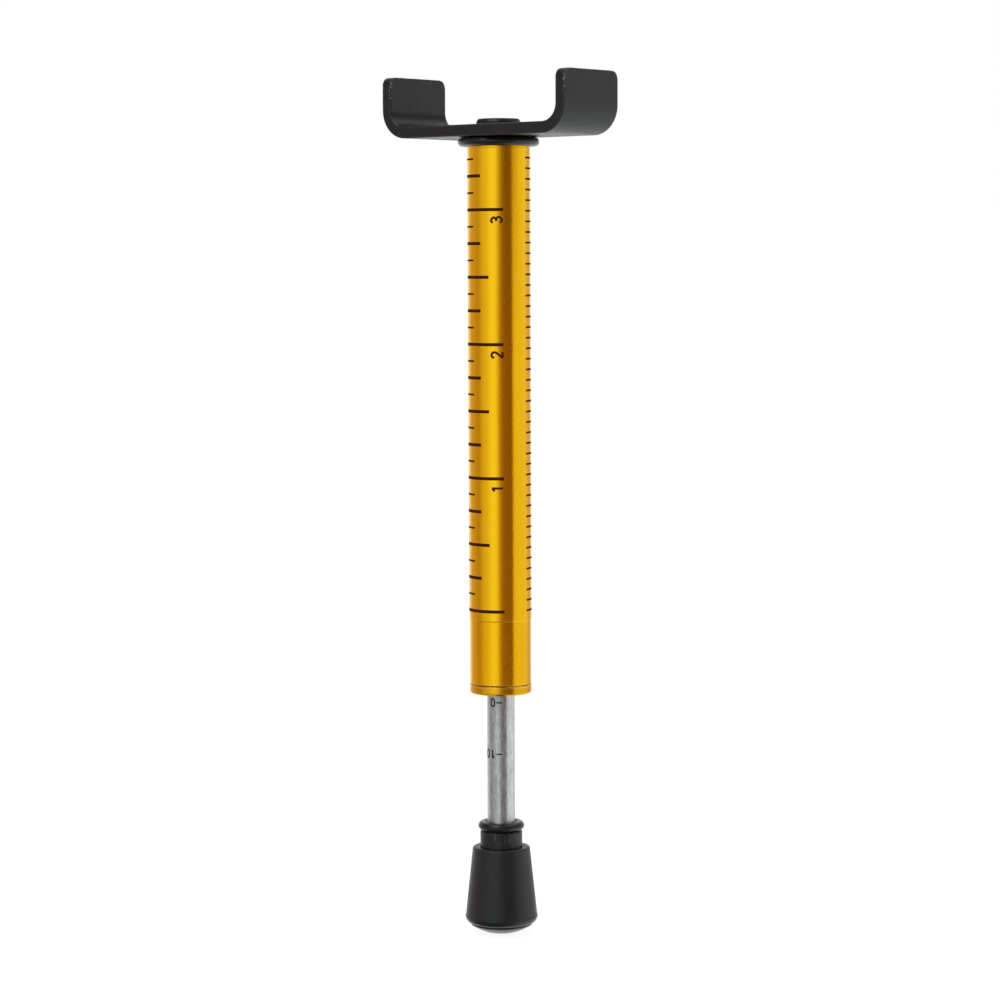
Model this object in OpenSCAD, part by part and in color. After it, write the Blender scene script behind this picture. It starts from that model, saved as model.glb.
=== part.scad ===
// Belt tension gauge: a spring barrel with a fork for the belt and a plunger read by two rubber rings
// Millimetres, +Z up along the barrel, origin at the lowest point of the knob

/* [Knob] */
// Height of the knob's shoulder above its lowest point
knob_h = 17; // [14:0.1:24]
// Diameter of the knob's shoulder
knob_top_d = 11; // [10:0.1:12.5]
// Diameter of the knob at its widest, near the lower end
knob_rim_d = 13.9; // [13:0.1:18]
// Height of the widest place above the lowest point
knob_rim_z = 3.4; // [3:0.1:4.4]
// Height of the domed end cap
dome_h = 2.1; // [1.2:0.1:2.4]
// Diameter of the domed end cap
cap_d = 12; // [11.4:0.1:12.6]
// Diameter of the neck sleeve
neck_d = 8.1; // [7.6:0.1:8.6]
// How far the neck sleeve stands out of the knob
neck_out = 3.2; // [1.5:0.1:5]
// How deep the neck sleeve sits in the knob
neck_in = 3; // [1.5:0.1:3.6]

/* [Plunger] */
// Diameter of the plunger rod
rod_d = 5.4; // [5.2:0.1:5.8]
// Bare rod between the neck sleeve and the barrel, plunger out
rod_bare = 26.8; // [26:0.1:40]
// Diameter of the rod's long inner end, over the spring seat
rod_tip_d = 3.6; // [3.4:0.1:4]
// Travel of the plunger
plunger_travel = 12.5; // [6:0.1:12.6]

/* [Barrel] */
// Outside diameter of the tube
tube_d = 11.8; // [11.6:0.1:13]
// Wall of the tube
tube_wall = 0.9; // [0.7:0.05:1]
// Length of the tube
tube_len = 104.4; // [96:0.1:130]
// How far the end bush's flange stands out of the tube's wall
flange_lip = 0.05; // [0:0.05:1.2]
// Thickness of the end bush's flange
flange_t = 1.8; // [1.2:0.1:3]
// Length of the end bush inside the tube
bush_in = 8; // [5:0.1:12]
// Length of the top plug inside the tube
plug_len = 8; // [5:0.1:12]

/* [Fork] */
// Length of the fork over its arms
fork_len = 45.2; // [38:0.1:60]
// Width of the fork's strip
fork_w = 16; // [13:0.1:20]
// Thickness of the fork's strip
fork_t = 2.2; // [1.5:0.1:2.6]
// Height of the arms from the strip's underside
arm_h = 11.8; // [9:0.1:20]
// Inside radius of the bends
bend_r = 3.3; // [1:0.1:4]
// Radius of the arms' upper corners
arm_corner_r = 1.7; // [0.5:0.1:4]
// Diameter of the rivet's head on the fork
rivet_head_d = 8.4; // [6:0.1:10]
// Height of the rivet's head
rivet_head_h = 1.2; // [0.8:0.1:2]
// Diameter of the rivet's shank
rivet_d = 4; // [3:0.1:5]

/* [Spring] */
// Wire of the spring
wire_d = 1.5; // [1.2:0.05:1.55]
// Turns of the spring, ends included
turns = 23; // [16:1:24]
// Space between the spring and the tube's wall
spring_side_gap = 0.2; // [0.15:0.05:0.3]

/* [Marker rings] */
// Rubber section of the ring on the barrel
deflection_ring_cs = 1.7; // [1.4:0.05:1.9]
// Rubber section of the ring on the rod
force_ring_cs = 1.7; // [1.4:0.05:1.9]

/* [Scales] */
// Bare tube below the film that carries the scales
film_low_gap = 12.4; // [6:0.1:20]
// Bare tube above the film
film_high_gap = 2.1; // [1.9:0.1:4]
// Height of the zero mark above the film's lower edge
zero_up = 2; // [1:0.1:4]
// Angle about the barrel that the inch scale faces
scale_facing = -49.5; // [-180:0.5:180]
// Width of a stroke on the barrel
stroke_w = 0.6; // [0.3:0.05:0.8]
// Width of a fine stroke on the barrel, in its shortest inch ticks and metric ticks
fine_stroke_w = 0.36; // [0.2:0.02:0.5]
// Width of a stroke in the barrel's numbers
digit_stroke_w = 0.42; // [0.2:0.02:0.5]
// Width of a stroke on the rod
rod_stroke_w = 0.28; // [0.16:0.02:0.4]

/* [Hidden] */
$fn = 72;
// Overrun that makes cuts clean
over = 1;
// Running clearance of a shaft or piston in its bore, per side
run_gap = 0.06;
// Clearance of a loose hole round a shank, per side
loose_gap = 0.15;
// Gap left between pieces that rest on each other and move apart
rest_gap = 0.05;
// Gap between the deflection ring at rest and the fork above it
deflection_rest_gap = 0.1;
// Grip clearance of a rubber ring over the printed marks, per side
ring_gap = 0.02;
// Thickness of the film round the tube
film_t = 0.1;
// Thickness of the printed marks
print_t = 0.02;
// How far a mark's flat shape reaches in and out of the wall before it is cut to it
print_reach = 0.3;

// Knob
// Radius of the shoulder's rounded edge
shoulder_r = 0.8;
// Steps in a rounded edge
round_steps = 6;
// Seam between the knob and its end cap
seam_gap = 0.1;
// Height of the end cap's straight edge under the seam
cap_edge = 0.25;
// Diameter of the hollow that the end cap closes
hollow_d = 9.6;
// Height of the hollow's roof above the lowest point
hollow_top = 8;
// Thickness of the web that the screw clamps
web_t = 2;
// Height of the end cap's spigot above its flange
spigot_h = 2.4;
// Wall of the end cap's spigot
spigot_wall = 0.9;
// Edge break of the neck sleeve
neck_chamfer = 0.25;
// Screw up into the rod
screw_d = 3;
screw_len = 10;
screw_head_d = 5.6;
screw_head_h = 1.9;
screw_slot_w = 0.8;
screw_slot_depth = 0.8;
// Depth left in the rod past the screw's end
tap_spare = 1;
// Washer under the screw's head
knob_washer_d = 7;
knob_washer_t = 0.5;

// Barrel and what is inside it
tube_chamfer = 0.12;
flange_chamfer = 0.25;
stop_washer_t = 0.8;
top_washer_t = 0.8;
washer_side_gap = 0.2;
piston_h = 6;
piston_spigot_h = 3;
// Gap between the spring's inside and what centres it, per side
guide_gap = 0.3;
piston_relief = 0.4;
piston_land = 1.5;
clip_washer_t = 0.5;
clip_t = 0.6;
clip_d = 6;
clip_groove_d = 2.3;
clip_mouth_w = 1.9;
// Pockets between the clip's three tabs
clip_pocket_d = 1.6;
clip_pocket_angle = 110;
rod_chamfer = 0.3;
rivet_tail_h = 1.6;
rivet_chamfer = 0.3;
// Gap between the rod's tip and the rivet's tail at full travel
tip_gap = 0.2;

// Spring
spring_end_gap = 0.1;
// Gap between the end turns
end_turn_gap = 0.5;
rings_per_turn = 12;
wire_sides = 6;
// Turns at each end that lie close
close_turns = 1;

// Scales
inch_len = 25.4;
eighths = 8;
metric_step = 2;
metric_long_every = 5;
inch_tick = 9.7;
half_tick = 6.85;
quarter_tick = 5.1;
eighth_tick = 3.25;
metric_long_tick = 5;
metric_tick = 2.8;
// Angles from the scale's facing direction at which the ticks start
inch_start_angle = -85;
metric_start_angle = 57;
metric_digit_angle = 122;
inch_digit_angle = -4.5;
// Least bare film above the last mark
scale_margin = 1.8;
digit_h = 2.5;
digit_w = 1.6;
// Distance from a tick down to the middle of its number
digit_drop = 1.95;
// Marks on the rod
rod_digit_h = 1.9;
rod_digit_w = 1.05;
rod_digit_gap = 0.3;
rod_dash = 1.1;
rod_dash_w = 0.26;
force_step = 10;
rod_dash_angle = -7;
rod_digit_angle = -35;
curve_steps = 4;
// Strokes of the numbers 0 to 8: curved or not, then points as shares of the number's width and height
digit_shares = [
    [[1, [[0.5, 1], [0.92, 0.83], [1, 0.5], [0.92, 0.17], [0.5, 0]]],
        [1, [[0.5, 1], [0.08, 0.83], [0, 0.5], [0.08, 0.17], [0.5, 0]]]],
    [[0, [[0.15, 0.76], [0.6, 1]]], [0, [[0.6, 1], [0.6, 0]]]],
    [[1, [[0.04, 0.74], [0.22, 0.96], [0.7, 0.97], [0.94, 0.72], [0.68, 0.42], [0.03, 0]]],
        [0, [[0, 0], [1, 0]]]],
    [[1, [[0.04, 0.84], [0.42, 1], [0.88, 0.78], [0.72, 0.58], [0.35, 0.53]]],
        [1, [[0.35, 0.53], [0.78, 0.48], [0.98, 0.26], [0.5, 0], [0.02, 0.16]]]],
    [[0, [[0.75, 0], [0.75, 1]]], [0, [[0.78, 1], [0, 0.3]]], [0, [[0, 0.3], [1, 0.3]]]],
    [[0, [[0.92, 1], [0.16, 1]]], [0, [[0.2, 1], [0.1, 0.48]]],
        [1, [[0.08, 0.5], [0.5, 0.64], [0.98, 0.32], [0.5, 0], [0.02, 0.15]]]],
    [[1, [[0.86, 0.98], [0.42, 0.86], [0.06, 0.46], [0.08, 0.2], [0.5, 0]]],
        [1, [[0.06, 0.34], [0.5, 0.6], [0.96, 0.3], [0.5, 0]]]],
    [[0, [[0, 1], [1, 1]]], [0, [[1, 1], [0.36, 0]]]],
    [[1, [[0.5, 0.53], [0.08, 0.77], [0.5, 1]]], [1, [[0.5, 0.53], [0.92, 0.77], [0.5, 1]]],
        [1, [[0.5, 0.53], [0, 0.27], [0.5, 0]]], [1, [[0.5, 0.53], [1, 0.27], [0.5, 0]]]]
];

// Places up the axis
neck_top = knob_h + neck_out;
flange_low = neck_top + rod_bare;
tube_low = flange_low + flange_t;
tube_top = tube_low + tube_len;
plate_top = tube_top + fork_t;
film_low = tube_low + film_low_gap;
film_top = tube_top - film_high_gap;
scale_zero = film_low + zero_up;
bush_top = tube_low + bush_in;
piston_low = bush_top + stop_washer_t;
spring_low = piston_low + piston_h;
spigot_top = spring_low + piston_spigot_h;
clip_low = spigot_top + clip_washer_t + rest_gap;
plug_low = tube_top - plug_len;
spring_high = plug_low - top_washer_t;
rivet_low = plug_low - rivet_tail_h;
rod_top = rivet_low - plunger_travel - tip_gap;
rod_low = hollow_top + web_t;
screw_low = hollow_top - knob_washer_t;
force_zero = flange_low - force_ring_cs;

// Radii
rod_r = rod_d / 2;
tip_r = rod_tip_d / 2;
tube_r = tube_d / 2;
bore_r = tube_r - tube_wall;
film_r = tube_r + film_t;
flange_r = tube_r + flange_lip;
cap_r = cap_d / 2;
neck_r = neck_d / 2;
coil_r = bore_r - spring_side_gap - wire_d / 2;
spigot_r = coil_r - wire_d / 2 - guide_gap;
deflection_ring_r = film_r + print_t + ring_gap + deflection_ring_cs / 2;
force_ring_r = rod_r + print_t + ring_gap + force_ring_cs / 2;

// Rest places of the rings
deflection_ring_z = tube_top - deflection_rest_gap - deflection_ring_cs / 2;
force_ring_z = neck_top + rest_gap + force_ring_cs / 2;

// Points along an arc
function arc(middle, r, from, to, steps = round_steps) = [for (i = [0 : steps])
    let (a = from + (to - from) * i / steps) middle + r * [cos(a), sin(a)]];
// The angle that a length covers round a cylinder
function arc_angle(len, r) = len / r * 180 / PI;
// A smooth curve through points, and strokes of even width along it
function clamp_at(p, i) = p[max(0, min(len(p) - 1, i))];
function blend(p, i, t) = let (a = p[i], b = p[i + 1], leave = (b - clamp_at(p, i - 1)) / 2,
    arrive = (clamp_at(p, i + 2) - a) / 2, u = 1 - t)
    a * (1 + 2 * t) * u * u + b * (1 + 2 * u) * t * t + leave * t * u * u - arrive * t * t * u;
function curve(p) = concat([for (i = [0 : len(p) - 2]) for (k = [0 : curve_steps - 1])
    blend(p, i, k / curve_steps)], [p[len(p) - 1]]);
function heading(p, i) = let (v = clamp_at(p, i + 1) - clamp_at(p, i - 1)) v / norm(v);
function side(p, d) = [for (i = [0 : len(p) - 1]) let (v = heading(p, i)) p[i] + d * [-v[1], v[0]]];
function backwards(p) = [for (i = [len(p) - 1 : -1 : 0]) p[i]];

// One number, centred on the origin
module digit(n, w, h, stroke) {
    for (s = digit_shares[n]) {
        line = [for (q = s[1]) [(q[0] - 1 / 2) * (w - stroke), (q[1] - 1 / 2) * (h - stroke)]];
        path = s[0] == 1 ? curve(line) : line;
        polygon(concat(side(path, stroke / 2), backwards(side(path, -stroke / 2))));
    }
}

// A flat shape laid on a cylinder's wall as a print, facing the angle at a height
module printed(r, low, high) {
    intersection() {
        difference() {
            translate([0, 0, low]) cylinder(r = r + print_t, h = high - low);
            translate([0, 0, low - over]) cylinder(r = r, h = high - low + 2 * over);
        }
        union() children();
    }
}

// A flat shape stood across a cylinder's wall, ready to be cut to it
module facing(angle, z, r) {
    rotate([0, 0, angle]) translate([r - print_reach, 0, z]) rotate([90, 0, 90])
        linear_extrude(height = 2 * print_reach) children();
}

// A tick round a cylinder, from an angle and of a length along the wall
module tick(r, angle, z, len, stroke) {
    rotate([0, 0, angle]) rotate_extrude(angle = arc_angle(len, r))
        translate([r, z - stroke / 2]) square([print_t, stroke]);
}

module ring_disc(outer_r, inner_r, z, t) {
    translate([0, 0, z]) difference() {
        cylinder(r = outer_r, h = t);
        translate([0, 0, -over]) cylinder(r = inner_r, h = t + 2 * over);
    }
}

module o_ring(r, z, cs) {
    rotate_extrude() translate([r, z]) circle(d = cs);
}

// A block whose two lower corners are round, in the fork's side view
module cup(half, r, low, high) {
    translate([-half + r, low]) square([2 * (half - r), high - low]);
    translate([-half, low + r]) square([2 * half, high - low - r]);
    for (s = [-1, 1]) translate([s * (half - r), low + r]) circle(r = r);
}

// An arm's outline seen along the fork, with round upper corners
module arm_view(half, r, low, high) {
    translate([-half, low]) square([2 * half, high - low - r]);
    translate([-half + r, low]) square([2 * (half - r), high - low]);
    for (s = [-1, 1]) translate([s * (half - r), high - r]) circle(r = r);
}

module belt_fork() {
    color("#2c2c2d") translate([0, 0, tube_top]) difference() {
        intersection() {
            rotate([90, 0, 0]) linear_extrude(height = fork_w, center = true) difference() {
                cup(fork_len / 2, bend_r + fork_t, 0, arm_h);
                cup(fork_len / 2 - fork_t, bend_r, fork_t, arm_h + over);
            }
            rotate([90, 0, 90]) linear_extrude(height = fork_len + 2 * over, center = true)
                arm_view(fork_w / 2, arm_corner_r, 0, arm_h);
        }
        translate([0, 0, -over]) cylinder(d = rivet_d, h = fork_t + 2 * over);
    }
}

module fork_rivet() {
    head_r = rivet_head_d / 2;
    shank_r = rivet_d / 2;
    head_top = plate_top + rivet_head_h;
    color("#2a2a2b") rotate_extrude() polygon([[0, rivet_low], [spigot_r - rivet_chamfer, rivet_low],
        [spigot_r, rivet_low + rivet_chamfer], [spigot_r, plug_low], [shank_r, plug_low],
        [shank_r, plate_top], [head_r, plate_top], [head_r, head_top - 2 * rivet_chamfer],
        [head_r - rivet_chamfer, head_top], [0, head_top]]);
}

module top_plug() {
    color("#b9bcbf") ring_disc(bore_r, rivet_d / 2, plug_low, plug_len);
}

module barrel_tube() {
    color("#e0a01e") rotate_extrude() polygon([[bore_r, tube_low], [tube_r - tube_chamfer, tube_low],
        [tube_r, tube_low + tube_chamfer], [tube_r, tube_top - tube_chamfer],
        [tube_r - tube_chamfer, tube_top], [bore_r, tube_top]]);
}

module scale_film() {
    color("#e3a524") ring_disc(film_r, tube_r, film_low, film_top - film_low);
}

module inch_scale_marks() {
    step = inch_len / eighths;
    count = floor((film_top - scale_margin - scale_zero) / step);
    start = scale_facing + inch_start_angle;
    color("#1a1712") {
        for (i = [0 : count]) {
            quarter = i % (eighths / 4) == 0;
            len = i % eighths == 0 ? inch_tick : i % (eighths / 2) == 0 ? half_tick
                : quarter ? quarter_tick : eighth_tick;
            tick(film_r, start, scale_zero + i * step, len, quarter ? stroke_w : fine_stroke_w);
        }
        printed(film_r, scale_zero, film_top) for (n = [1 : floor(count / eighths)])
            facing(scale_facing + inch_digit_angle, scale_zero + n * inch_len - digit_drop, film_r)
                rotate(90) digit(n, digit_w, digit_h, digit_stroke_w);
    }
}

module metric_scale_marks() {
    count = floor((film_top - scale_margin - scale_zero) / metric_step);
    start = scale_facing + metric_start_angle;
    number_step = metric_step * metric_long_every;
    numbers = min(len(digit_shares) - 1, floor(count / metric_long_every));
    color("#1a1712") {
        for (i = [0 : count])
            tick(film_r, start, scale_zero + i * metric_step,
                i % metric_long_every == 0 ? metric_long_tick : metric_tick, fine_stroke_w);
        printed(film_r, scale_zero, film_top) for (n = [1 : numbers])
            facing(scale_facing + metric_digit_angle, scale_zero + n * number_step, film_r)
                rotate(90) digit(n, digit_w, digit_h, digit_stroke_w);
    }
}

module end_bush() {
    hole_r = rod_r + run_gap;
    color("#d9981c") rotate_extrude() polygon([[hole_r, flange_low],
        [flange_r - flange_chamfer, flange_low], [flange_r, flange_low + flange_chamfer],
        [flange_r, tube_low - tube_chamfer], [flange_r - tube_chamfer, tube_low], [bore_r, tube_low],
        [bore_r, bush_top], [hole_r, bush_top]]);
}

module stop_washer() {
    color("#e8e6df") ring_disc(bore_r - washer_side_gap, rod_r + loose_gap, bush_top, stop_washer_t);
}

module spring_top_washer() {
    color("#a8abad")
        ring_disc(bore_r - washer_side_gap, spigot_r + loose_gap, spring_high, top_washer_t);
}

// Height of the spring's wire along its turns: close turns at both ends, even pitch between
coil_low = spring_low + spring_end_gap + wire_d / 2;
coil_high = spring_high - spring_end_gap - wire_d / 2;
close_pitch = wire_d + end_turn_gap;
open_pitch = (coil_high - coil_low - 2 * close_turns * close_pitch) / (turns - 2 * close_turns);
function coil_z(t) = coil_low + min(t, close_turns) * close_pitch
    + max(0, min(t, turns - close_turns) - close_turns) * open_pitch
    + max(0, t - turns + close_turns) * close_pitch;
function coil_point(t) = [coil_r * cos(360 * t), coil_r * sin(360 * t), coil_z(t)];
coil_count = turns * rings_per_turn;
coil_points = [for (i = [0 : coil_count]) coil_point(i / rings_per_turn)];
coil_gap = min([for (i = [0 : coil_count - rings_per_turn])
    norm(coil_points[i + rings_per_turn] - coil_points[i])]) - wire_d;
echo(least_gap_between_turns = coil_gap);

module compression_spring() {
    faces_round = [for (i = [0 : coil_count - 1]) for (k = [0 : wire_sides - 1])
        let (a = i * wire_sides + k, b = i * wire_sides + (k + 1) % wire_sides)
        each [[a, b, b + wire_sides], [a, b + wire_sides, a + wire_sides]]];
    end_ring = coil_count * wire_sides;
    caps = [for (k = [1 : wire_sides - 2]) each
        [[0, k + 1, k], [end_ring, end_ring + k, end_ring + k + 1]]];
    rings = [for (i = [0 : coil_count]) let (turn = 360 * i / rings_per_turn, p = coil_points[i])
        for (k = [0 : wire_sides - 1]) let (a = 360 * k / wire_sides + 90)
        p + wire_d / 2 * [cos(a) * cos(turn), cos(a) * sin(turn), sin(a)]];
    color("#8d9194") polyhedron(points = rings, faces = concat(faces_round, caps));
}

module spring_seat_piston() {
    guide_r = bore_r - run_gap;
    hole_r = tip_r + run_gap;
    waist_low = piston_low + piston_land;
    waist_high = spring_low - piston_land;
    color("#c9a04a") rotate_extrude() polygon([[hole_r, piston_low], [guide_r, piston_low],
        [guide_r, waist_low], [guide_r - piston_relief, waist_low + piston_relief],
        [guide_r - piston_relief, waist_high - piston_relief], [guide_r, waist_high],
        [guide_r, spring_low], [spigot_r, spring_low], [spigot_r, spigot_top], [hole_r, spigot_top]]);
}

module clip_washer() {
    color("#a8abad") ring_disc(clip_d / 2, tip_r + loose_gap, spigot_top, clip_washer_t);
}

module rod_clip() {
    groove_r = clip_groove_d / 2;
    color("#5c5f61") translate([0, 0, clip_low]) linear_extrude(height = clip_t) difference() {
        circle(d = clip_d);
        circle(r = groove_r);
        translate([0, -clip_mouth_w / 2]) square([clip_d, clip_mouth_w]);
        for (s = [-1, 1]) rotate(s * clip_pocket_angle) translate([groove_r, 0]) circle(d = clip_pocket_d);
    }
}

module plunger_rod() {
    clip_high = clip_low + clip_t;
    groove_r = clip_groove_d / 2;
    tap_high = screw_low + screw_len + tap_spare;
    color("#a9adaf") difference() {
        rotate_extrude() polygon([[0, rod_low], [rod_r - rod_chamfer, rod_low],
            [rod_r, rod_low + rod_chamfer], [rod_r, piston_low], [tip_r, piston_low], [tip_r, clip_low],
            [groove_r, clip_low], [groove_r, clip_high], [tip_r, clip_high],
            [tip_r, rod_top - rod_chamfer], [tip_r - rod_chamfer, rod_top], [0, rod_top]]);
        translate([0, 0, rod_low - over]) cylinder(d = screw_d, h = tap_high - rod_low + over);
    }
}

module rod_number(z, digits) {
    pitch = arc_angle(rod_digit_w + rod_digit_gap, rod_r);
    for (i = [0 : len(digits) - 1])
        facing(scale_facing + rod_digit_angle - i * pitch, z, rod_r)
            rotate(180) digit(digits[i], rod_digit_w, rod_digit_h, rod_stroke_w);
}

module force_scale_marks() {
    dash_start = scale_facing + rod_dash_angle - arc_angle(rod_dash / 2, rod_r);
    color("#202124") {
        for (i = [0, 1]) tick(rod_r, dash_start, force_zero - i * force_step, rod_dash, rod_dash_w);
        printed(rod_r, force_zero - force_step - rod_digit_h, force_zero + rod_digit_h) {
            rod_number(force_zero, [0]);
            rod_number(force_zero - force_step, [1, 0]);
        }
    }
}

module knob_neck() {
    low = knob_h - neck_in;
    color("#27282a") rotate_extrude() polygon([[rod_r, low], [neck_r, low],
        [neck_r, neck_top - neck_chamfer], [neck_r - neck_chamfer, neck_top], [rod_r, neck_top]]);
}

module knob_body() {
    top_r = knob_top_d / 2;
    rim_r = knob_rim_d / 2;
    low = dome_h + seam_gap;
    color("#2b2b2d") difference() {
        rotate_extrude() polygon(concat([[0, low]],
            [for (i = [0 : round_steps]) let (a = 90 * i / round_steps)
                [cap_r + (rim_r - cap_r) * sin(a), knob_rim_z - (knob_rim_z - low) * cos(a)]],
            arc([top_r - shoulder_r, knob_h - shoulder_r], shoulder_r, 0, 90), [[0, knob_h]]));
        translate([0, 0, -over]) cylinder(d = hollow_d, h = hollow_top + over);
        translate([0, 0, hollow_top - over]) cylinder(r = screw_d / 2 + loose_gap, h = web_t + 2 * over);
        translate([0, 0, rod_low]) cylinder(r = rod_r, h = knob_h);
        translate([0, 0, knob_h - neck_in]) cylinder(r = neck_r, h = neck_in + over);
    }
}

module knob_washer() {
    color("#a8abad") ring_disc(knob_washer_d / 2, screw_d / 2 + loose_gap, screw_low, knob_washer_t);
}

module knob_screw() {
    head_low = screw_low - screw_head_h;
    color("#8d9194") difference() {
        union() {
            translate([0, 0, head_low]) cylinder(d = screw_head_d, h = screw_head_h);
            translate([0, 0, screw_low]) cylinder(d = screw_d, h = screw_len);
        }
        translate([-screw_head_d, -screw_slot_w / 2, head_low - over])
            cube([2 * screw_head_d, screw_slot_w, screw_slot_depth + over]);
    }
}

module knob_end_cap() {
    dome_rise = dome_h - cap_edge;
    ball_r = (cap_r * cap_r + dome_rise * dome_rise) / (2 * dome_rise);
    color("#3a3a3c") {
        rotate_extrude() intersection() {
            translate([0, ball_r]) circle(r = ball_r);
            square([cap_r, dome_h]);
        }
        ring_disc(hollow_d / 2, hollow_d / 2 - spigot_wall, dome_h, spigot_h);
    }
}

module deflection_ring() {
    color("#1d1d1e") o_ring(deflection_ring_r, deflection_ring_z, deflection_ring_cs);
}

module force_ring() {
    color("#1d1d1e") o_ring(force_ring_r, force_ring_z, force_ring_cs);
}

belt_fork();
fork_rivet();
top_plug();
barrel_tube();
scale_film();
inch_scale_marks();
metric_scale_marks();
end_bush();
stop_washer();
spring_top_washer();
compression_spring();
spring_seat_piston();
clip_washer();
rod_clip();
plunger_rod();
force_scale_marks();
knob_neck();
knob_body();
knob_washer();
knob_screw();
knob_end_cap();
deflection_ring();
force_ring();
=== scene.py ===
"""Looks of the belt tension gauge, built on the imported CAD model. Lengths here are in millimetres."""
import math

import bpy
from mathutils import Matrix, Vector

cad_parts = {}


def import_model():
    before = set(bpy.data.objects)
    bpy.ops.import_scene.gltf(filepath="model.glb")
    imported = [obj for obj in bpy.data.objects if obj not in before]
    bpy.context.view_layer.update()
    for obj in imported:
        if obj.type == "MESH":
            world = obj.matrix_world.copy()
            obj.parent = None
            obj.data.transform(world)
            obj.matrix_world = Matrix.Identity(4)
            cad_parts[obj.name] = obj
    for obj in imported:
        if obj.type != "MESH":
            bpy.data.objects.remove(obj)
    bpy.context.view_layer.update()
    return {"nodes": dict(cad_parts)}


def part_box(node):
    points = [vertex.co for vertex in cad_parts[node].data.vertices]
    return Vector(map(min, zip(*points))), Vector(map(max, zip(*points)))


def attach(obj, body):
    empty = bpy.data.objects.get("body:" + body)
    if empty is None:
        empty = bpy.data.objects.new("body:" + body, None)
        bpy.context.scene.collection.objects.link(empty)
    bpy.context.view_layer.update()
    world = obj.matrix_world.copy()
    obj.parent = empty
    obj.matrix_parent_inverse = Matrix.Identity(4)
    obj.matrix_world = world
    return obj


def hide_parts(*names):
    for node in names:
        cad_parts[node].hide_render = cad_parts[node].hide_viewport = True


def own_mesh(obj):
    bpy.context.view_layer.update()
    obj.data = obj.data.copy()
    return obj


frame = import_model()
scene = bpy.context.scene
MM = 0.001
UP = Vector((0, 0, 1))


# Sizes from the frame
def span(node):
    """A CAD node's lowest and highest points and its half width along x."""
    low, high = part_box(node)
    return [round(v / MM, 2) for v in (low.z, high.z, high.x)]


knob_low, knob_top, knob_r = span("knob_body")
cap_low, spigot_top, cap_r = span("knob_end_cap")
knob_washer_top = span("knob_washer")[1]
screw_top = span("knob_screw")[1]
neck_low, neck_top, neck_r = span("knob_neck")
rod_low, rod_top, rod_r = span("plunger_rod")
flange_low, bush_top, flange_r = span("end_bush")
tube_low, tube_top, tube_r = span("barrel_tube")
film_low, film_top, film_r = span("scale_film")
piston_low = span("spring_seat_piston")[0]
clip_low, clip_top = span("rod_clip")[:2]
spring_low, spring_top = span("compression_spring")[:2]
rivet_low, rivet_top, rivet_r = span("fork_rivet")
plug_low, _, plug_r = span("top_plug")
fork_low, fork_top, fork_r = span("belt_fork")
fork_half_w = round(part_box("belt_fork")[1].y / MM, 2)

# Sizes that a box doesn't show
strip_t = 2.2
inner_bend_r = 3.3
arm_corner_r = 1.7
rim_z = 3.4
knob_top_r = 5.5
spigot_r = 4.8
spigot_bore_r = 3.9
screw_r = 1.5
screw_gap = 0.15
rod_tip_r = 1.8
groove_r = 1.15
bush_gap = 0.06
rivet_shank_r = 2.0
rivet_tail_r = 3.0
ring_section = 1.7

# Small edges
tube_chamfer = 0.12
flange_chamfer = 0.25
rod_chamfer = 0.3
fine_edge = 0.05
soft_edge = 0.1

# Camera, fitted to the photograph
AZIMUTH = math.radians(40.5)
TILT = math.radians(4.63)
ROLL = math.radians(-0.23)
CAMERA_FAR = 563
CAMERA_HEIGHT = 129.7
to_camera = Vector((math.sin(AZIMUTH), -math.cos(AZIMUTH), 0))
forward = -to_camera * math.cos(TILT) - UP * math.sin(TILT)
level_right = forward.cross(UP).normalized()
level_up = level_right.cross(forward)
right = level_right * math.cos(ROLL) + level_up * math.sin(ROLL)
upward = level_up * math.cos(ROLL) - level_right * math.sin(ROLL)
camera = bpy.data.objects.new("camera", bpy.data.cameras.new("camera"))
scene.collection.objects.link(camera)
camera.data.sensor_fit = "HORIZONTAL"
camera.data.sensor_width = 36
camera.data.lens = 106.13
camera_place = to_camera * CAMERA_FAR * MM + UP * CAMERA_HEIGHT * MM
camera_turn = Matrix((right, upward, -forward)).transposed().to_4x4()
camera.matrix_world = Matrix.Translation(camera_place) @ camera_turn
scene.camera = camera
scene.view_settings.view_transform = "Standard"


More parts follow.
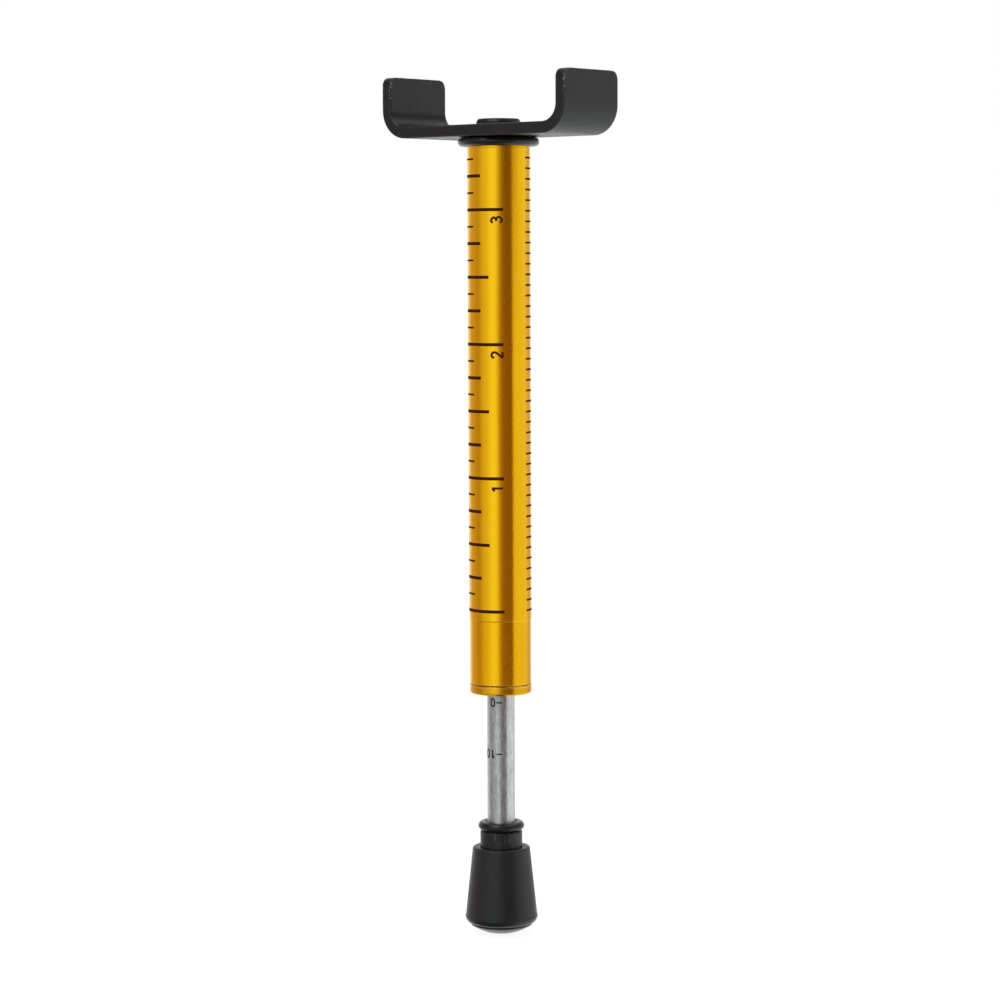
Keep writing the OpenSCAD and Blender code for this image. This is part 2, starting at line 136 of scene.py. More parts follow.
# Node helpers
class Net:
    """A node tree with short ways to add and join nodes."""

    def __init__(self, owner):
        owner.use_nodes = True
        self.tree = owner.node_tree
        self.tree.nodes.clear()

    def add(self, kind, **values):
        node = self.tree.nodes.new(kind)
        for key, value in values.items():
            setattr(node, key, value)
        return node

    def join(self, out, into):
        self.tree.links.new(out, into)

    def put(self, socket, value):
        if isinstance(value, bpy.types.NodeSocket):
            self.join(value, socket)
        elif value is not None:
            socket.default_value = value

    def math(self, operation, first, second=None):
        node = self.add("ShaderNodeMath", operation=operation)
        self.put(node.inputs[0], first)
        self.put(node.inputs[1], second)
        return node.outputs[0]

    def between(self, value, low, high, to_low=0.0, to_high=1.0, smooth=False):
        """The value's way from low to high, held at both ends and carried to another range."""
        node = self.add("ShaderNodeMapRange", interpolation_type="SMOOTHSTEP" if smooth else "LINEAR")
        for socket, given in zip(node.inputs, (value, low, high, to_low, to_high)):
            self.put(socket, given)
        return node.outputs[0]

    def ramp(self, value, stops):
        node = self.add("ShaderNodeValToRGB")
        elements = node.color_ramp.elements
        elements.remove(elements[1])
        for k, (at, color) in enumerate(stops):
            element = elements[0] if k == 0 else elements.new(at)
            element.position = at
            element.color = (*color, 1)
        self.put(node.inputs[0], value)
        return node.outputs[0]

    def mix(self, share, first, second):
        """A mix of two colours, on the Mix node's colour sockets: 6 and 7 in, 2 out."""
        node = self.add("ShaderNodeMix", data_type="RGBA")
        self.put(node.inputs[0], share)
        self.put(node.inputs[6], (*first, 1) if isinstance(first, tuple) else first)
        self.put(node.inputs[7], (*second, 1) if isinstance(second, tuple) else second)
        return node.outputs[2]

    def blend(self, first, second, share):
        """The sum of two values, with this share of the second."""
        rest = self.math("MULTIPLY", first, 1 - share)
        return self.math("ADD", rest, self.math("MULTIPLY", second, share))

    def place(self, stretch=(1, 1, 1), shift=(0, 0, 0)):
        """The piece's own coordinates, in millimetres."""
        mapping = self.add("ShaderNodeMapping")
        mapping.inputs["Scale"].default_value = [s / MM for s in stretch]
        mapping.inputs["Location"].default_value = shift
        self.join(self.add("ShaderNodeTexCoord").outputs["Object"], mapping.inputs["Vector"])
        return mapping.outputs[0]

    def height(self):
        node = self.add("ShaderNodeSeparateXYZ")
        self.join(self.place(), node.inputs[0])
        return node.outputs[2]

    def away_from(self, z):
        """How far a point is above or below a height."""
        return self.math("ABSOLUTE", self.math("SUBTRACT", self.height(), z))

    def noise(self, scale, detail=3.0, stretch=(1, 1, 1), rough=0.5, shift=(0, 0, 0)):
        node = self.add("ShaderNodeTexNoise")
        self.join(self.place(stretch, shift), node.inputs["Vector"])
        node.inputs["Scale"].default_value = scale
        node.inputs["Detail"].default_value = detail
        node.inputs["Roughness"].default_value = rough
        return node.outputs[0]

    def bump(self, height, depth, strength, under=None):
        node = self.add("ShaderNodeBump")
        node.inputs["Strength"].default_value = strength
        node.inputs["Distance"].default_value = depth * MM
        self.join(height, node.inputs["Height"])
        if under is not None:
            self.join(under, node.inputs["Normal"])
        return node.outputs[0]


def material(name):
    made = bpy.data.materials.new(name)
    net = Net(made)
    shader = net.add("ShaderNodeBsdfPrincipled")
    net.join(shader.outputs[0], net.add("ShaderNodeOutputMaterial").inputs[0])
    return made, net, shader


def surface(net, shader, color, rough, normal, constants):
    net.put(shader.inputs["Base Color"], color)
    net.put(shader.inputs["Roughness"], rough)
    net.join(normal, shader.inputs["Normal"])
    for socket, value in constants.items():
        shader.inputs[socket].default_value = value


# Materials. The cool tint evens out the warm tone of the dim strip on black pieces
COOL = (0.93, 1, 1, 1)
# Seam colour: painted shade in the groove between tube and bush, with some dirt
SEAM_SHADE_AND_DIRT = (0.46, 0.16, 0.005)
# Pale edge colour: rubbed wear together with a painted highlight line
RUBBED_AND_HIGHLIGHT_GOLD = (1.0, 0.72, 0.28)
ALONG = (1, 1, 0.06)
AROUND = (0.15, 0.15, 1)


def gold(name, color, deep, rough, grain_way=ALONG, seam=None, rubbed_and_highlit_edges=()):
    """Dyed anodised aluminium with speckle and grain. A seam is painted darker, mostly painted shade with
    some dirt, and edges are painted pale, partly rubbed wear and partly a painted highlight.
    """
    made, net, shader = material(name)
    grain = net.noise(4.5, 4, grain_way, 0.6)
    speckle = net.noise(3.4, 2, (1, 1, 0.4), 0.6, (3, 7, 1))
    patches = net.noise(0.12, 2, shift=(9, 2, 4))
    tone = net.blend(net.between(net.blend(grain, speckle, 0.6), 0.32, 0.68), patches, 0.25)
    shade = net.mix(tone, deep, color)
    roughness = net.between(speckle, 0.3, 0.7, rough - 0.02, rough + 0.04)
    if seam is not None:
        # Painted shade: the colour goes darker near the seam between tube and bush, with a little dirt
        shade = net.mix(net.between(net.away_from(seam), 0.03, 0.1), SEAM_SHADE_AND_DIRT, shade)
    # Pale lines at edges: partly rubbed wear, partly a painted highlight where an edge catches light
    for z, strength in rubbed_and_highlit_edges:
        near = net.between(net.away_from(z), 0.05, 0.1, strength, 0.0)
        shade = net.mix(near, shade, RUBBED_AND_HIGHLIGHT_GOLD)
        roughness = net.between(near, 0, 1, roughness, 0.5)
    normal = net.bump(speckle, 0.018, 0.55, net.bump(grain, 0.003, 0.4))
    surface(net, shader, shade, roughness, normal, {"Metallic": 1.0})
    return made


def coated(name):
    """Black coating with a fine grain, worn to bright chips along the edges, most near the arms' tips. Every
    edge also gets a painted highlight, a lighter colour with some polish wear.
    """
    made, net, shader = material(name)
    grain = net.noise(5.5, 3, rough=0.65)
    cloud = net.noise(0.35, 3, shift=(4, 1, 8))
    mottle = net.noise(1.3, 4, rough=0.7, shift=(7, 3, 5))
    shade = net.mix(net.between(mottle, 0.36, 0.64), (0.002, 0.0022, 0.002), (0.007, 0.0073, 0.0071))
    shade = net.mix(net.between(cloud, 0.35, 0.65, 0.0, 0.35), shade, (0.009, 0.009, 0.0093))
    edge = net.add("ShaderNodeAttribute", attribute_name="edge").outputs["Fac"]
    chips = net.between(net.noise(2.6, 3, rough=0.7, shift=(1, 5, 2)), 0.54, 0.62)
    worn = net.math("MULTIPLY", chips, net.between(edge, 0.55, 0.95))
    near_tip = net.between(net.height(), fork_top - 5.5, fork_top - 1.5, 0.12, 1.0)
    # Painted highlight along every edge: the colour is lighter there, with some polish wear
    shade = net.mix(net.between(edge, 0.5, 0.95, 0.0, 0.5), shade, (0.022, 0.022, 0.022))
    shade = net.mix(net.math("MULTIPLY", worn, near_tip), shade, (0.3, 0.3, 0.3))
    roughness = net.between(mottle, 0.36, 0.64, 0.31, 0.45)
    normal = net.bump(mottle, 0.03, 0.5, net.bump(grain, 0.014, 0.6))
    surface(net, shader, shade, roughness, normal, {"Specular Tint": COOL})
    return made


def ink(name, color):
    """Printed ink, matt and slightly uneven."""
    made, net, shader = material(name)
    patch = net.noise(6, 3, rough=0.6)
    shade = net.mix(net.between(patch, 0.4, 0.75), color, tuple(1.8 * c for c in color))
    roughness = net.between(patch, 0.3, 0.7, 0.5, 0.65)
    surface(net, shader, shade, roughness, net.bump(patch, 0.004, 0.4), {"Specular IOR Level": 0.06})
    return made


def steel(name, low, high, rough, stretch=(1, 1, 1), turned=0.0):
    """Bare metal with streaks along the stretch. A turned piece spreads its highlights along the axis."""
    made, net, shader = material(name)
    streaks = net.noise(5, 4, stretch, 0.6)
    spots = net.noise(1.6, 4, (1, 1, 0.5), 0.65, (2, 3, 9))
    shade = net.mix(net.between(net.blend(streaks, spots, 0.5), 0.4, 0.6), low, high)
    roughness = net.between(spots, 0.3, 0.7, rough - 0.05, rough + 0.06)
    surface(net, shader, shade, roughness, net.bump(streaks, 0.004, 0.4),
            {"Metallic": 1.0, "Anisotropic": turned, "Anisotropic Rotation": 0.25})
    if turned:
        tangent = net.add("ShaderNodeTangent", direction_type="RADIAL", axis="Z")
        net.join(tangent.outputs[0], shader.inputs["Tangent"])
    return made


def plastic(name, low, high, rough, glossy_below=None):
    """Moulded plastic. Below a height it can be glossier, as where it was polished by the mould."""
    made, net, shader = material(name)
    grain = net.noise(5, 3, rough=0.6)
    cloud = net.noise(0.55, 4, (1, 1, 0.5), 0.65, (6, 2, 5))
    shade = net.mix(net.between(net.blend(grain, cloud, 0.5), 0.35, 0.65), low, high)
    roughness = net.between(cloud, 0.35, 0.65, rough - 0.06, rough + 0.05)
    if glossy_below is not None:
        gloss = net.between(net.height(), glossy_below - 0.3, glossy_below + 0.3, 0.45, 1.0, True)
        roughness = net.math("MULTIPLY", roughness, gloss)
    surface(net, shader, shade, roughness, net.bump(grain, 0.01, 0.4), {"Specular Tint": COOL})
    return made


def rubber(name, color, rough, dust, scuffs=0.0):
    """Black rubber with a few pale specks of dust, and scuffs that run along it."""
    made, net, shader = material(name)
    grain = net.noise(7, 3, rough=0.6)
    specks = net.between(net.noise(3.4, 2, rough=0.8, shift=(5, 5, 1)), 0.7, 0.76)
    shade = net.mix(net.between(grain, 0.3, 0.7), color, tuple(1.6 * c for c in color))
    shade = net.mix(net.math("MULTIPLY", specks, dust), shade, (0.2, 0.2, 0.2))
    rubbed = net.between(net.noise(1.5, 4, (1, 1, 0.3), 0.7, (2, 8, 3)), 0.52, 0.66, 0.0, scuffs)
    shade = net.mix(rubbed, shade, (0.09, 0.09, 0.092))
    roughness = net.between(grain, 0.3, 0.7, rough - 0.05, rough + 0.08)
    surface(net, shader, shade, roughness, net.bump(grain, 0.01, 0.5), {"Specular Tint": COOL})
    return made


seam_z = tube_low + 0.03
GOLD = gold("gold_anodised", (0.98, 0.58, 0.01), (0.88, 0.48, 0.006), 0.11, seam=seam_z,
            rubbed_and_highlit_edges=((tube_low + 0.22, 0.35),))
BUSH_GOLD = gold("bush_gold", (0.9, 0.52, 0.01), (0.68, 0.35, 0.006), 0.12, AROUND, seam=seam_z,
                 rubbed_and_highlit_edges=((tube_low - 0.34, 0.5),))
FILM_GOLD = gold("film_gold", (0.98, 0.59, 0.012), (0.9, 0.51, 0.008), 0.12,
                 rubbed_and_highlit_edges=((film_low, 0.2), (film_top, 0.6)))
FORK = coated("fork_finish")
SCALE_INK = ink("scale_ink", (0.04, 0.009, 0.001))
ROD_INK = ink("rod_ink", (0.02, 0.02, 0.022))
ROD = steel("rod_steel", (0.5, 0.555, 0.55), (0.8, 0.87, 0.865), 0.34, (1, 1, 0.05), turned=0.9)
KNOB = plastic("knob_plastic", (0.008, 0.0084, 0.0094), (0.0115, 0.0119, 0.013), 0.4,
               glossy_below=rim_z - 0.3)
CAP = plastic("cap_plastic", (0.016, 0.016, 0.0165), (0.024, 0.024, 0.0245), 0.28)
NECK = rubber("neck_rubber", (0.007, 0.007, 0.0073), 0.38, 0.6, 0.5)
RING = rubber("ring_rubber", (0.008, 0.008, 0.008), 0.22, 0.3)
BRASS = steel("piston_brass", (0.6, 0.4, 0.14), (0.72, 0.5, 0.2), 0.22, (0.1, 0.1, 1))
ALUMINIUM = steel("plug_aluminium", (0.6, 0.61, 0.62), (0.7, 0.71, 0.72), 0.3, (0.1, 0.1, 1))
ZINC = steel("washer_zinc", (0.5, 0.51, 0.53), (0.6, 0.61, 0.62), 0.3)
SPRING = steel("spring_steel", (0.36, 0.37, 0.39), (0.46, 0.47, 0.48), 0.3)
CLIP = steel("clip_steel", (0.1, 0.1, 0.105), (0.15, 0.15, 0.155), 0.35)
SCREW = steel("screw_steel", (0.42, 0.43, 0.45), (0.52, 0.53, 0.54), 0.28)
NYLON = plastic("nylon_white", (0.72, 0.7, 0.64), (0.8, 0.79, 0.73), 0.45)

KEPT_NODES = {
    "inch_scale_marks": SCALE_INK, "metric_scale_marks": SCALE_INK, "force_scale_marks": ROD_INK,
    "top_plug": ALUMINIUM, "stop_washer": NYLON, "rod_clip": CLIP, "spring_top_washer": ZINC,
    "clip_washer": ZINC, "knob_washer": ZINC, "spring_seat_piston": BRASS, "knob_screw": SCREW,
}
for name, finish in KEPT_NODES.items():
    finishes = frame["nodes"][name].data.materials
    finishes.clear()
    finishes.append(finish)


def piece(name, points, faces, finish, body, node, sharp=35, edge=None):
    """A mesh in millimetres that stands for a CAD node and rides on its body."""
    mesh = bpy.data.meshes.new(name)
    mesh.from_pydata([[c * MM for c in p] for p in points], [], faces)
    mesh.update()
    mesh.shade_smooth()
    mesh.set_sharp_from_angle(angle=math.radians(sharp))
    if edge is not None:
        mesh.attributes.new("edge", "FLOAT", "POINT").data.foreach_set("value", edge)
    mesh.materials.append(finish)
    made = bpy.data.objects.new(name, mesh)
    scene.collection.objects.link(made)
    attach(made, body)
    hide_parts(node)
    return made


def rounded(corners, steps=4):
    """A profile of (radius, height) corners. Where a corner has an edge radius too, it is rounded."""
    out = []
    last = len(corners) - 1
    for k, corner in enumerate(corners):
        p = Vector(corner[:2])
        if len(corner) < 3 or k in (0, last):
            out.append(tuple(p))
            continue
        back = Vector(corners[k - 1][:2]) - p
        on = Vector(corners[k + 1][:2]) - p
        half = back.angle(on) / 2
        reach = min(corner[2] / math.tan(half), 0.49 * back.length, 0.49 * on.length)
        r = reach * math.tan(half)
        middle = p + (back.normalized() + on.normalized()).normalized() * r / math.sin(half)
        start = p + back.normalized() * reach - middle
        end = p + on.normalized() * reach - middle
        turn = start.angle_signed(end)
        for i in range(steps + 1):
            t = -turn * i / steps
            out.append((middle.x + start.x * math.cos(t) - start.y * math.sin(t),
                        middle.y + start.x * math.sin(t) + start.y * math.cos(t)))
    return out


def held(profile, closed, margin=0.2):
    """The profile with a point near each end of its long sides, which keeps their shading flat."""
    out = []
    for k, here in enumerate(profile):
        out.append(here)
        if k + 1 < len(profile) or closed:
            a = Vector(here)
            b = Vector(profile[(k + 1) % len(profile)])
            if (b - a).length > 5 * margin:
                step = (b - a).normalized() * margin
                out += [tuple(a + step), tuple(b - step)]
    return out


def lathe(name, profile, finish, body, node, around=160, closed=False, sharp=35):
    """A profile of (radius, height) turned about the barrel's axis. A closed profile makes a ring."""
    points = []
    faces = []
    rows = []
    for r, z in held(profile, closed):
        count = 1 if r < 1e-6 else around
        rows.append((len(points), count))
        for j in range(count):
            a = 2 * math.pi * j / around
            points.append((r * math.cos(a), r * math.sin(a), z))
    for k in range(len(rows) - (0 if closed else 1)):
        (low, low_n), (high, high_n) = rows[k], rows[(k + 1) % len(rows)]
        for j in range(around):
            i = (j + 1) % around
            quad = (low + j % low_n, low + i % low_n, high + i % high_n, high + j % high_n)
            face = tuple(dict.fromkeys(quad))
            if len(face) > 2:
                faces.append(face)
    return piece(name, points, faces, finish, body, node, sharp)


# Barrel
def tube():
    bevel_r = tube_r - tube_chamfer
    profile = [(plug_r, tube_low + 0.2), (plug_r, tube_low, fine_edge), (bevel_r, tube_low, fine_edge),
               (tube_r, tube_low + tube_chamfer, 0.08), (tube_r, tube_top - tube_chamfer, 0.08),
               (bevel_r, tube_top, fine_edge), (plug_r, tube_top, fine_edge), (plug_r, tube_top - 0.4)]
    lathe("tube", rounded(profile), GOLD, "barrel", "barrel_tube", around=192, closed=True)


def film():
    """The film's face stays just under the print."""
    face_r = film_r - 0.01
    profile = [(tube_r, film_low + 0.8), (tube_r, film_low), (face_r, film_low, fine_edge),
               (face_r, film_top, fine_edge), (tube_r, film_top), (tube_r, film_top - 1.1)]
    lathe("film", rounded(profile), FILM_GOLD, "barrel", "scale_film", around=192, closed=True)


def flange_bush():
    bore_r = rod_r + bush_gap
    bevel_r = flange_r - flange_chamfer
    profile = [(bore_r, flange_low + 3), (bore_r, flange_low, 0.15), (bevel_r, flange_low, 0.08),
               (flange_r, flange_low + flange_chamfer, 0.12), (flange_r, tube_low - tube_chamfer, 0.06),
               (flange_r - tube_chamfer, tube_low, 0.04), (plug_r, tube_low), (plug_r, bush_top),
               (bore_r, bush_top)]
    lathe("flange_bush", rounded(profile), BUSH_GOLD, "barrel", "end_bush", around=192, closed=True)


def rivet():
    """Tail, shank and a low head with a centre mark."""
    head_low = fork_low + strip_t
    bevel = 0.3
    tail = [(0, rivet_low), (rivet_tail_r - bevel, rivet_low, soft_edge),
            (rivet_tail_r, rivet_low + bevel, soft_edge), (rivet_tail_r, plug_low)]
    head = [(rivet_shank_r, plug_low), (rivet_shank_r, head_low), (rivet_r, head_low),
            (rivet_r, rivet_top - 0.6, 0.25), (rivet_r - 0.28, rivet_top, 0.25)]
    mark = [(0.75, rivet_top, soft_edge), (0.3, rivet_top - 0.12, 0.2), (0, rivet_top - 0.14)]
    lathe("rivet", rounded(tail + head + mark), FORK, "barrel", "fork_rivet", around=96)


tube()
film()
flange_bush()
rivet()

# Fork: a strip bent up at both ends, swept from one arm's top to the other's
EDGE_R = 0.28
ARC_STEPS = 4
BEND_STEPS = 12
CORNER_STEPS = 8
HOLD = 0.3


def quarter(steps):
    """Angles from 0 to a quarter turn."""
    return [math.pi / 2 * k / steps for k in range(steps + 1)]


def drawn_in(r, drop):
    """How far a rounded corner of radius r is drawn in, at a drop below its top."""
    return r - math.sqrt(max(0, r ** 2 - (r - drop) ** 2)) if drop < r else 0


def strip_section(half_w, half_t, worn):
    """Points (across, through, edge) of the strip's section, with one past each end of its round edges."""
    out = []
    for k in range(4):
        start = Vector((math.cos(math.pi / 2 * k), math.sin(math.pi / 2 * k)))
        end = Vector((-start.y, start.x))
        side = start + end
        middle = Vector((side.x * (half_w - EDGE_R), side.y * (half_t - EDGE_R)))
        out.append((*(middle + start * EDGE_R - end * HOLD), worn))
        for b in quarter(ARC_STEPS):
            out.append((*(middle + (start * math.cos(b) + end * math.sin(b)) * EDGE_R), 1.0))
        out.append((*(middle + end * EDGE_R - start * HOLD), worn))
    return out


def fork_stations():
    """Sections along the strip: place x and z, way inward, half width, half thickness and wear, a mark that
    also sets the coating's painted edge highlight.
    """
    half_t = strip_t / 2
    bend_r = inner_bend_r + strip_t
    bend_top = fork_low + bend_r
    past_bend = 0.4
    past_corner = 0.35
    worn_tip = 4.5
    floor_places = (-16.0, -12.0, -8.0, -4.0, 0.0)
    heights = {bend_top, bend_top + past_bend, fork_top - worn_tip, fork_top - arm_corner_r - past_corner}
    heights |= {fork_top - arm_corner_r * (1 - math.cos(a)) for a in quarter(CORNER_STEPS)}
    heights |= {fork_top - EDGE_R * (1 - math.cos(a)) for a in quarter(ARC_STEPS)}
    out = []
    for z in sorted({round(z, 4) for z in heights}, reverse=True):
        drop = fork_top - z
        inset = drawn_in(EDGE_R, drop)
        half_w = fork_half_w - drawn_in(arm_corner_r, drop) - inset
        # The edge mark here drives both the coating's wear chips and its painted edge highlight.
        worn = 0.3 if drop == 0 else 1.0 if drop < EDGE_R else 0.0
        out.append((half_t - fork_r, z, 0.0, half_w, half_t - inset, worn))
    middle_r = bend_r - half_t
    for a in quarter(BEND_STEPS)[1:]:
        x = bend_r - fork_r - middle_r * math.cos(a)
        out.append((x, bend_top - middle_r * math.sin(a), a, fork_half_w, half_t, 0.0))
    for x in floor_places:
        out.append((x, fork_low + half_t, math.pi / 2, fork_half_w, half_t, 0.0))
    return out + [(-x, z, math.pi - a, w, t, worn) for x, z, a, w, t, worn in reversed(out[:-1])]


def fork():
    points = []
    edges = []
    faces = []
    stations = fork_stations()
    for x, z, way, half_w, half_t, worn in stations:
        for across, through, edge in strip_section(half_w, half_t, worn):
            points.append((x + math.cos(way) * through, across, z + math.sin(way) * through))
            edges.append(edge)
    n = len(points) // len(stations)
    for s in range(len(stations) - 1):
        for k in range(n):
            i = (k + 1) % n
            faces.append((s * n + k, (s + 1) * n + k, (s + 1) * n + i, s * n + i))
    faces.append(tuple(range(n)))
    faces.append(tuple(reversed(range((len(stations) - 1) * n, len(stations) * n))))
    piece("fork", points, faces, FORK, "barrel", "belt_fork", edge=edges)


fork()


# Spring: close turns at both ends, even pitch between
def spring():
    turns = 23
    coil_r = 4.05
    wire_r = 0.75
    close = 2.0
    end_gap = 0.1
    per_turn = 32
    sides = 14
    low = spring_low + wire_r + end_gap
    high = spring_top - wire_r - end_gap
    pitch = (high - low - 2 * close) / (turns - 2)
    points = []
    faces = []
    for i in range(turns * per_turn + 1):
        t = i / per_turn
        z = low + min(t, 1) * close + max(0, min(t, turns - 1) - 1) * pitch + max(0, t - turns + 1) * close
        a = 2 * math.pi * t
        for k in range(sides):
            b = 2 * math.pi * k / sides
            r = coil_r + wire_r * math.cos(b)
            points.append((r * math.cos(a), r * math.sin(a), z + wire_r * math.sin(b)))
    for i in range(turns * per_turn):
        for k in range(sides):
            j = (k + 1) % sides
            faces.append((i * sides + k, i * sides + j, (i + 1) * sides + j, (i + 1) * sides + k))
    faces.append(tuple(reversed(range(sides))))
    faces.append(tuple(range(turns * per_turn * sides, (turns * per_turn + 1) * sides)))
    made = piece("spring", points, faces, SPRING, "barrel", "compression_spring", sharp=60)
    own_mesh(made)


spring()


# Plunger and knob
def rod():
    """Screw hole below, then the full rod, the piston's stretch with the clip's groove, and the tip."""
    hole_top = screw_top + 1
    foot = [(0, hole_top), (screw_r, hole_top), (screw_r, rod_low),
            (rod_r - rod_chamfer, rod_low, soft_edge), (rod_r, rod_low + rod_chamfer, soft_edge)]
    shoulder = [(rod_r, piston_low, soft_edge), (rod_tip_r, piston_low)]
    groove = [(rod_tip_r, clip_low), (groove_r, clip_low), (groove_r, clip_top), (rod_tip_r, clip_top)]
    tip = [(rod_tip_r, rod_top - rod_chamfer, soft_edge), (rod_tip_r - rod_chamfer, rod_top, soft_edge),
           (0, rod_top)]
    lathe("rod", rounded(foot + shoulder + groove + tip), ROD, "plunger", "plunger_rod", around=128)


def neck():
    chamfer = 0.25
    edge = 0.12
    profile = [(rod_r, neck_low + 1), (rod_r, neck_low), (neck_r, neck_low, soft_edge),
               (neck_r, neck_top - chamfer, edge), (neck_r - chamfer, neck_top, edge),
               (rod_r, neck_top, edge), (rod_r, neck_top - 1.2)]
    lathe("neck", rounded(profile), NECK, "plunger", "knob_neck", around=128, closed=True)


def knob():
    """From the cap's seat over the round rim and its small lip, up the taper and down the bores."""
    out = knob_r - cap_r
    up = rim_z - knob_low
    rim = [(cap_r + out * math.sin(a), rim_z - up * math.cos(a)) for a in quarter(12)]
    lip_r = knob_r + 0.05
    lip = [(lip_r - 0.02, rim_z + 0.01), (lip_r, rim_z + 0.06), (lip_r, rim_z + 0.16),
           (lip_r - 0.03, rim_z + 0.21), (lip_r - 0.1, rim_z + 0.23)]
    hole_r = screw_r + screw_gap
    seat = [(spigot_r, knob_low + 0.8), (spigot_r, knob_low, soft_edge), (cap_r - 0.1, knob_low)]
    taper = [(knob_r - 0.08, rim_z + 0.6), (knob_top_r, knob_top, 0.45)]
    bores = [(neck_r + 0.07, knob_top, soft_edge), (neck_r, knob_top - 0.2), (neck_r, neck_low),
             (rod_r, neck_low), (rod_r, rod_low), (hole_r, rod_low), (hole_r, knob_washer_top),
             (spigot_r, knob_washer_top)]
    profile = rounded(seat + rim + lip + taper + bores, 8)
    lathe("knob", profile, KNOB, "plunger", "knob_body", closed=True, sharp=50)


def end_cap():
    """A domed disc with a hollow spigot."""
    rise = 1.85
    plate_top = knob_low - 0.1
    ball = (cap_r ** 2 + rise ** 2) / (2 * rise)
    steps = [math.asin(cap_r / ball) * k / 16 for k in range(16)]
    dome = [(ball * math.sin(a), cap_low + ball - ball * math.cos(a)) for a in steps]
    seat = [(cap_r, cap_low + rise, 0.12), (cap_r, plate_top, 0.08), (spigot_r, plate_top),
            (spigot_r, spigot_top), (spigot_bore_r, spigot_top), (spigot_bore_r, plate_top), (0, plate_top)]
    lathe("end_cap", rounded(dome + seat), CAP, "plunger", "knob_end_cap")


rod()
neck()
knob()
end_cap()


# Marker rings: rubber with a faint mould line inside and outside
def marker_ring(name, body, node):
    low, high, outer_r = span(node)
    section_r = ring_section / 2
    mould_line = 0.012
    line_sharpness = 60
    steps = 48
    profile = []
    for k in range(steps):
        b = 2 * math.pi * k / steps
        reach = section_r + mould_line * abs(math.cos(b)) ** line_sharpness
        z = (low + high) / 2 + section_r * math.sin(b)
        profile.append((outer_r - section_r + reach * math.cos(b), z))
    lathe(name, profile, RING, body, node, closed=True, sharp=60)


marker_ring("upper_ring", "deflection_marker", "deflection_ring")
marker_ring("lower_ring", "force_marker", "force_ring")


# Studio: a pale floor, a soft key and fill, and a white surround with one dim strip for the metal to show
AIM = UP * 90 * MM


def either(net, share, first, second):
    """A mix of two shaders."""
    node = net.add("ShaderNodeMixShader")
    net.put(node.inputs[0], share)
    net.join(first.outputs[0], node.inputs[1])
    net.join(second.outputs[0], node.inputs[2])
    return node


def floor():
    half = 20
    mesh = bpy.data.meshes.new("floor")
    corners = [(-half, -half, 0), (half, -half, 0), (half, half, 0), (-half, half, 0)]
    mesh.from_pydata(corners, [], [(0, 1, 2, 3)])
    made = bpy.data.objects.new("floor", mesh)
    scene.collection.objects.link(made)
    made.visible_glossy = False
    pale = bpy.data.materials.new("floor_pale")
    net = Net(pale)
    diffuse = net.add("ShaderNodeBsdfDiffuse")
    net.put(diffuse.inputs[0], net.mix(net.noise(0.02), (0.82, 0.82, 0.82), (0.86, 0.86, 0.86)))
    glow = net.add("ShaderNodeEmission")
    glow.inputs["Strength"].default_value = 1.3
    seen = net.math("MULTIPLY", net.add("ShaderNodeLightPath").outputs["Is Camera Ray"], 0.7)
    shown = either(net, seen, diffuse, glow)
    net.join(shown.outputs[0], net.add("ShaderNodeOutputMaterial").inputs[0])
    mesh.materials.append(pale)


def lamp(name, turn, lift, far, size, power):
    """An area lamp aimed at the barrel: turn from the camera and lift in degrees, far and size in metres."""
    a = math.radians(turn)
    e = math.radians(lift)
    flat = to_camera * math.cos(a) + level_right * math.sin(a)
    data = bpy.data.lights.new(name, "AREA")
    data.shape = "RECTANGLE"
    data.size, data.size_y = size
    data.energy = power
    made = bpy.data.objects.new(name, data)
    scene.collection.objects.link(made)
    made.location = (flat * math.cos(e) + UP * math.sin(e)) * far + AIM
    made.rotation_euler = (AIM - made.location).to_track_quat("-Z", "Y").to_euler()
    made.visible_camera = False
    return made


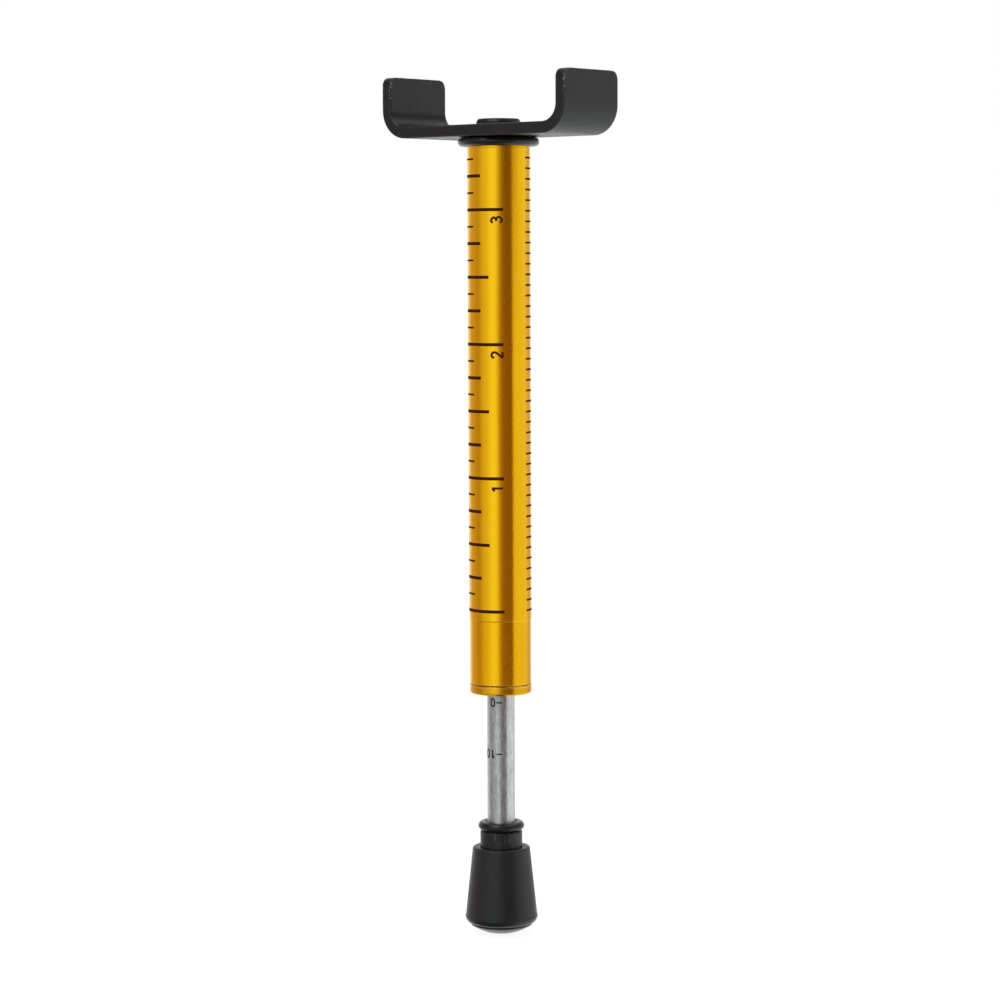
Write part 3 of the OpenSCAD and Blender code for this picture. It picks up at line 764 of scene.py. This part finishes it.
def surround(net):
    """The colour that reflections see: strips of brightness round the barrel, one above the other."""
    way = net.add("ShaderNodeTexCoord").outputs["Generated"]

    def along(axis):
        dot = net.add("ShaderNodeVectorMath", operation="DOT_PRODUCT")
        net.join(way, dot.inputs[0])
        dot.inputs[1].default_value = axis
        return dot.outputs["Value"]

    turn = net.math("ARCTAN2", along(level_right), along(to_camera))
    share = net.between(turn, -math.pi, math.pi)

    def strip(stops, warmth=0.0):
        """Brightness at angles from the camera's side. What is dimmer than 0.95 is warmed."""
        colors = []
        for at, level in stops:
            warm = warmth * max(0.0, min(1.0, (0.95 - level) / 0.7))
            cut = level * (1 - 0.4 * warm)
            colors.append(((at + 180) / 360, (level, cut, cut)))
        return net.ramp(share, colors)

    dim = [(-180, 1), (-150, 1), (-125, 0.64), (-108, 0.6), (-92, 0.52), (-84, 0.5), (-75, 0.6), (-61, 0.75),
           (-48, 0.8), (-37, 0.92), (-30, 1), (-20, 1), (-12, 0.92), (-5, 0.68), (3, 0.44), (12, 0.31),
           (28, 0.27), (43, 0.26), (47, 0.34), (51, 0.74), (62, 0.87), (110, 0.88), (125, 0.74), (140, 0.6),
           (152, 0.9), (180, 1)]
    level = strip(dim, 1.3)
    under = strip([(at, max(bright, 0.36)) for at, bright in dim])
    lower = strip([(-180, 1), (-150, 1), (-120, 0.6), (-100, 0.28), (-76, 0.17), (-8, 0.16), (12, 0.24),
                   (43, 0.27), (50, 0.5), (56, 1), (150, 1), (180, 1)])
    high = strip([(-180, 1), (-150, 1), (-125, 0.64), (-108, 0.6), (-92, 0.56), (-84, 0.56), (-75, 0.64),
                  (-61, 0.78), (-48, 0.82), (-37, 0.92), (-30, 1), (-20, 1), (-12, 0.94), (-4, 0.74),
                  (4, 0.5), (12, 0.32), (20, 0.2), (38, 0.19), (44, 0.24), (50, 0.46), (58, 0.6),
                  (68, 0.68), (80, 0.84), (112, 0.92), (125, 0.74), (140, 0.6), (152, 0.9), (180, 1)], 0.9)
    upper = strip([(-180, 0.8), (-140, 0.6), (-112, 0.2), (-60, 0.16), (-30, 0.25), (0, 0.18), (42, 0.16),
                   (58, 0.2), (115, 0.2), (150, 0.7), (180, 0.8)])
    top = strip([(-180, 0.8), (-120, 0.3), (40, 0.26), (75, 1), (130, 1), (160, 0.8), (180, 0.8)])
    # From the lowest strip to the top. Each pair of numbers is where one goes over into the next
    rise = along(UP)
    color = net.mix(net.between(rise, -0.235, -0.205), lower, under)
    color = net.mix(net.between(rise, -0.172, -0.165), color, level)
    color = net.mix(net.between(rise, -0.015, 0.03), color, high)
    color = net.mix(net.between(rise, 0.12, 0.36, smooth=True), color, upper)
    return net.mix(net.between(rise, 0.5, 0.75, smooth=True), color, top)


def world():
    """White to the camera, the surround to reflections, and an even half light to all else."""
    made = bpy.data.worlds.new("surround")
    scene.world = made
    net = Net(made)

    def background(color, strength=1.0):
        node = net.add("ShaderNodeBackground")
        net.put(node.inputs[0], color)
        node.inputs[1].default_value = strength
        return node

    white = (1, 1, 1, 1)
    rays = net.add("ShaderNodeLightPath")
    lit = either(net, rays.outputs["Is Glossy Ray"], background(white, 0.5), background(surround(net)))
    seen = net.math("MAXIMUM", rays.outputs["Is Camera Ray"], rays.outputs["Is Transmission Ray"])
    shown = either(net, seen, lit, background(white))
    net.join(shown.outputs[0], net.add("ShaderNodeOutputWorld").inputs[0])


floor()
lamp("key", turn=-40, lift=52, far=1.2, size=(0.7, 0.5), power=4.0)
lamp("fill", turn=52, lift=8, far=1.3, size=(0.4, 0.3), power=2.4).visible_glossy = False
world()
